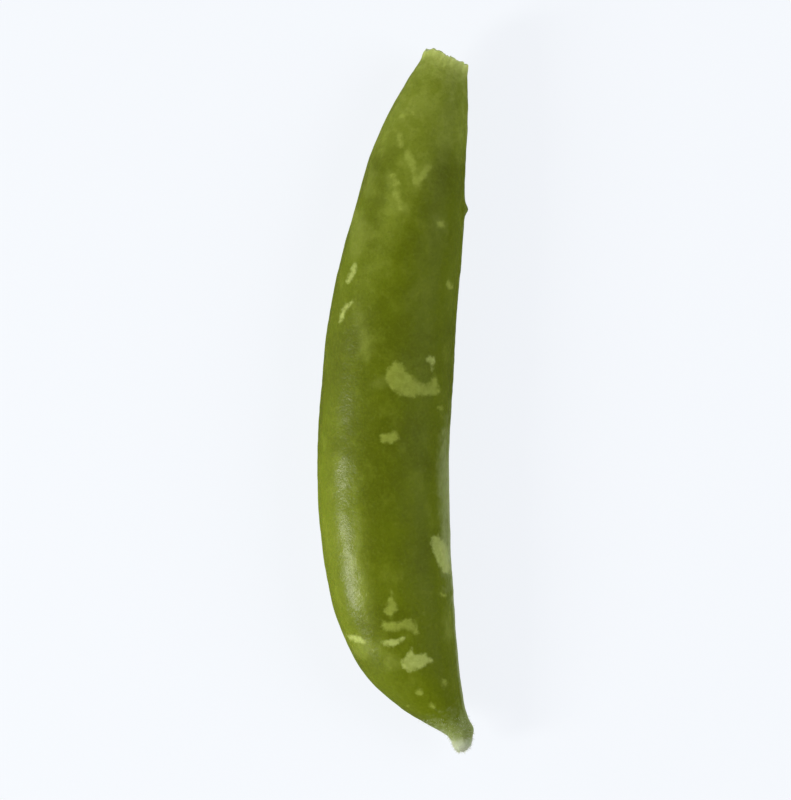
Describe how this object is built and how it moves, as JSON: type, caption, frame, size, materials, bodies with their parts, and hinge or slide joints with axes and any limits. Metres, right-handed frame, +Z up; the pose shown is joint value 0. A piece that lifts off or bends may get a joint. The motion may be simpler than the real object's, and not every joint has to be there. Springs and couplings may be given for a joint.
{
  "type": "sugar snap pea pod",
  "caption": "Plump fresh pea pod lying on its side: gently curved, with a lipped seam on the straight edge, a broken stem end and a small blossom tip.",
  "frame": {"origin": "on the resting surface, under the middle of the pod's bounding box", "axes": "+Y along the pod towards its broken stem end, +X across it towards the straight ventral seam, +Z up through its thickness"},
  "size_m": [0.0178, 0.08, 0.0104],
  "materials": {
    "pod_skin": "satin"
  },
  "bodies": {
    "root": {"pod": "pod_skin"}
  },
  "joints": []
}
